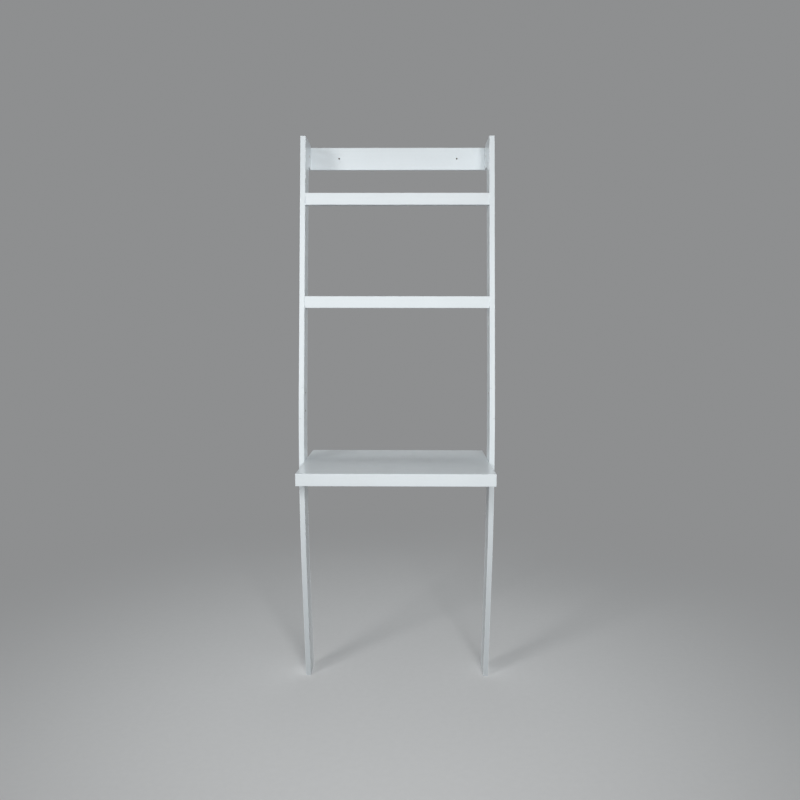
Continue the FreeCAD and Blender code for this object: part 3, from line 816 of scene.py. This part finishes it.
class LADDERDESK_OT_boards(bpy.types.Operator):
    """Lacquer the side boards, the wall rail, the shelves and the desk"""

    bl_idname = "ladderdesk.boards"
    bl_label = "Lacquer boards"

    def execute(self, context):
        across = lacquer_material("lacquer_across", 0)
        upright = lacquer_material("lacquer_upright", 2)
        deep = lacquer_material("lacquer_deep", 1)
        desk_top = lacquer_material("lacquer_desk_top", 0, gloss=1.25)
        drilled = lacquer_material("lacquer_wall_rail", 0)
        low, high = (Vector(corner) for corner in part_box("wall_rail"))
        screw_hole = (WALL_SCREW_OFFSET, 0, (low.z + high.z) / 2)
        bare_hole_walls(drilled, screw_hole, (1, 0, 1), WALL_SCREW_RADIUS, high.x)
        low, high = (Vector(corner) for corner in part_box("wall_rail_barrel_nuts"))
        nut_hole = (low + high) / 2
        radius = (high.z - low.z) / 2 + NUT_CLEARANCE
        bare_hole_walls(upright, nut_hole, (0, 1, 1), radius, high.x + NUT_CLEARANCE)
        lacquers = {
            **dict.fromkeys(UPRIGHT_BOARDS, upright),
            **dict.fromkeys(DEPTH_BOARDS, deep),
            "desk_board": desk_top,
            "wall_rail": drilled,
        }
        for node, slot in NODE_SLOTS.items():
            if slot == "white_lacquer":
                use_material(frame["nodes"][node], lacquers.get(node, across))
        return {"FINISHED"}


class LADDERDESK_OT_bolts(bpy.types.Operator):
    """Make the countersunk bolts of the joints"""

    bl_idname = "ladderdesk.bolts"
    bl_label = "Make bolts"

    def execute(self, context):
        fittings = context.scene.ladder_desk.fittings
        zinc = metal_material("zinc", tuple(fittings.zinc_colour), roughness=0.3)
        # Name, node, direction, and the length of plain shank in millimetres.
        kinds = (
            ("lap_bolt_screws", "lap_bolts", X_AXIS, 2.5),
            ("shelf_bolt_screws", "shelf_bolts", X_AXIS, 18.0),
            ("desk_bolt_screws", "desk_bolts", X_AXIS, 8.0),
            ("wall_rail_bolt_screws", "wall_rail_bolts", -Y_AXIS, 18.0),
        )
        for name, node, axis, plain_length in kinds:
            fit_out(bolt_piece(name, node, axis, plain_length * MILLIMETRE), node, zinc)
        return {"FINISHED"}


class LADDERDESK_OT_nuts(bpy.types.Operator):
    """Make the insert nuts and finish the barrel nuts"""

    bl_idname = "ladderdesk.nuts"
    bl_label = "Make nuts"

    def execute(self, context):
        fittings = context.scene.ladder_desk.fittings
        brass = metal_material("brass", tuple(fittings.brass_colour), roughness=0.28)
        plated = metal_material("plated", tuple(fittings.zinc_colour), roughness=0.36)
        for node in ("lap_insert_nuts", "desk_insert_nuts"):
            fit_out(insert_nut_piece(node + "_threaded", node), node, brass)
        for node in ("shelf_barrel_nuts", "wall_rail_barrel_nuts"):
            use_material(frame["nodes"][node], plated)
        return {"FINISHED"}


class LADDERDESK_OT_screws(bpy.types.Operator):
    """Make the wood screws under the desk"""

    bl_idname = "ladderdesk.screws"
    bl_label = "Make wood screws"

    def execute(self, context):
        fittings = context.scene.ladder_desk.fittings
        zinc = metal_material("screw_zinc", tuple(fittings.zinc_colour), roughness=0.34)
        node = "desk_rail_screws"
        fit_out(screw_piece("desk_rail_wood_screws", node), node, zinc)
        return {"FINISHED"}


class LADDERDESK_OT_dowels(bpy.types.Operator):
    """Make the fluted dowels"""

    bl_idname = "ladderdesk.dowels"
    bl_label = "Make dowels"

    def execute(self, context):
        across, deep = beech_material("beech_across", 0), beech_material("beech_deep", 1)
        for node, slot in NODE_SLOTS.items():
            if slot != "beech_dowel":
                continue
            low, high = solid_boxes(node)[0]
            size = high - low
            axis, beech = (X_AXIS, across) if size.x > size.y else (Y_AXIS, deep)
            fit_out(dowel_piece(node + "_fluted", node, axis), node, beech)
        return {"FINISHED"}


def seen_or_mirrored(tree):
    """One for camera, glossy and transmission rays, and nought for the rest."""
    path = tree.nodes.new("ShaderNodeLightPath")
    camera, glossy = path.outputs["Is Camera Ray"], path.outputs["Is Glossy Ray"]
    either = number_math(tree, "MAXIMUM", camera, glossy)
    return number_math(tree, "MAXIMUM", either, path.outputs["Is Transmission Ray"])


def studio_world(stage):
    """An even light from all sides, and the backdrop's colour where it is seen or mirrored."""
    world = bpy.data.worlds.new("studio")
    world.use_nodes = True
    tree = world.node_tree
    tree.nodes.clear()
    even = [("Color", (*stage.ambient_colour, 1)), ("Strength", stage.ambient)]
    ambient = add_node(tree, "ShaderNodeBackground", even).outputs[0]
    plain = [("Color", (*stage.backdrop, 1)), ("Strength", 1.0)]
    backdrop = add_node(tree, "ShaderNodeBackground", plain).outputs[0]
    output = tree.nodes.new("ShaderNodeOutputWorld")
    mix = mix_shaders(tree, seen_or_mirrored(tree), ambient, backdrop)
    tree.links.new(mix, output.inputs["Surface"])
    return world


def floor_material(stage):
    """A pale floor that takes shadows near the desk and fades into the backdrop further out.

    For the light that it throws back at the desk it is a plain, darker grey.
    """
    grain_size = 0.02
    material, tree, shader = new_material("floor")
    plain = object_coordinates(tree)
    shader.inputs["Roughness"].default_value = 0.85
    grain = vary(tree, noise(tree, grain_size, plain, detail=3), 0.985, 1.01)
    tree.links.new(shade(tree, tuple(stage.floor_colour), grain), shader.inputs["Base Color"])
    glow = add_node(tree, "ShaderNodeEmission", [("Strength", stage.floor_glow)]).outputs[0]
    paled = [(0, shader.outputs["BSDF"]), (1, glow)]
    near = add_node(tree, "ShaderNodeAddShader", paled).outputs[0]
    backdrop = [("Color", (*stage.backdrop, 1))]
    far = add_node(tree, "ShaderNodeEmission", backdrop).outputs[0]
    distance = vector_math(tree, "LENGTH", plain)
    fade = add_node(
        tree, "ShaderNodeMapRange",
        [("Value", distance), ("From Min", stage.fade_start), ("From Max", stage.fade_end)],
        interpolation_type="SMOOTHSTEP",
    ).outputs["Result"]
    grey = [("Color", (stage.floor_bounce, stage.floor_bounce, stage.floor_bounce, 1))]
    bounce = add_node(tree, "ShaderNodeBsdfDiffuse", grey).outputs[0]
    seen = mix_shaders(tree, fade, near, far)
    output = next(node for node in tree.nodes if node.type == "OUTPUT_MATERIAL")
    mix = mix_shaders(tree, seen_or_mirrored(tree), bounce, seen)
    tree.links.new(mix, output.inputs["Surface"])
    return material


def floor_piece():
    """A round flat floor of rings that widen outwards."""
    points = rings_to_points([(0.0, radius) for radius in FLOOR_RADII], ring_angles(96))
    rows, columns = points.shape[:2]
    faces = grid_faces(rows, columns, False)[:, ::-1].tolist() + [list(range(columns))]
    return mesh_piece("floor", points.reshape(-1, 3), faces)


def softbox(name, power, spread=math.pi):
    """A square lamp at its place around the desk, aimed at the lamps' target."""
    degrees, distance, height, size = LAMPS[name]
    data = bpy.data.lights.new(name, "AREA")
    data.size = size
    data.energy = power
    data.spread = spread
    lamp = bpy.data.objects.new(name, data)
    angle = math.radians(degrees)
    place = Vector((math.sin(angle) * distance, -math.cos(angle) * distance, height))
    turn = (place - LAMP_TARGET).to_track_quat("Z", "Y").to_matrix().to_4x4()
    lamp.matrix_world = Matrix.Translation(place) @ turn
    lamp.visible_camera = False
    bpy.context.scene.collection.objects.link(lamp)
    return lamp


def spare(piece, lamps):
    """Keep the light of some lamps off a piece."""
    spared = bpy.data.collections.new(piece.name + "_spared")
    spared.objects.link(piece)
    for member in spared.collection_objects:
        member.light_linking.link_state = "EXCLUDE"
    for lamp in lamps:
        lamp.light_linking.receiver_collection = spared


class LADDERDESK_OT_stage(bpy.types.Operator):
    """Make the floor, the backdrop and the lights"""

    bl_idname = "ladderdesk.stage"
    bl_label = "Make stage"

    def execute(self, context):
        stage = context.scene.ladder_desk.stage
        context.scene.view_settings.view_transform = "Standard"
        context.scene.world = studio_world(stage)
        floor = floor_piece()
        use_material(floor, floor_material(stage))
        on_floor = (
            softbox("fill_softbox", stage.fill_power, GRID_SPREAD),
            softbox("key_softbox", stage.key_power, GRID_SPREAD),
        )
        off_floor = (
            softbox("left_rim", stage.rim_power),
            softbox("right_rim", stage.rim_power),
            softbox("rear_lamp", stage.rear_power),
            softbox("top_softbox", stage.top_power),
        )
        # Only the front lamps light the floor, so it keeps their soft shadows alone.
        spare(floor, off_floor)
        # No lamp is mirrored, or it would show as a white patch. A dim card is mirrored
        # in their place, and lights nothing else.
        for lamp in on_floor + off_floor:
            lamp.visible_glossy = False
        sheen = softbox("sheen_card", stage.sheen_power)
        sheen.visible_diffuse = False
        return {"FINISHED"}


class LADDERDESK_PT_panel(bpy.types.Panel):
    """The steps and settings of the ladder desk's looks"""

    bl_idname = "LADDERDESK_PT_panel"
    bl_label = "Ladder desk"
    bl_space_type = "VIEW_3D"
    bl_region_type = "UI"
    bl_category = "Ladder desk"

    def draw(self, context):
        for operator in OPERATORS:
            self.layout.operator(operator.bl_idname)
        settings = context.scene.ladder_desk
        for group in (settings.lacquer, settings.fittings, settings.stage, settings.camera):
            box = self.layout.box()
            for key in group.__annotations__:
                box.prop(group, key)


OPERATORS = (
    LADDERDESK_OT_camera,
    LADDERDESK_OT_boards,
    LADDERDESK_OT_bolts,
    LADDERDESK_OT_nuts,
    LADDERDESK_OT_screws,
    LADDERDESK_OT_dowels,
    LADDERDESK_OT_stage,
)
CLASSES = (
    LacquerSettings,
    FittingSettings,
    StageSettings,
    CameraSettings,
    LadderDeskSettings,
    *OPERATORS,
    LADDERDESK_PT_panel,
)


def register():
    for item in CLASSES:
        bpy.utils.register_class(item)
    bpy.types.Scene.ladder_desk = PointerProperty(type=LadderDeskSettings)


def unregister():
    del bpy.types.Scene.ladder_desk
    for item in reversed(CLASSES):
        bpy.utils.unregister_class(item)


def main():
    register()
    bpy.ops.ladderdesk.camera()
    bpy.ops.ladderdesk.boards()
    bpy.ops.ladderdesk.bolts()
    bpy.ops.ladderdesk.nuts()
    bpy.ops.ladderdesk.screws()
    bpy.ops.ladderdesk.dowels()
    bpy.ops.ladderdesk.stage()


if __name__ == "__main__":
    main()
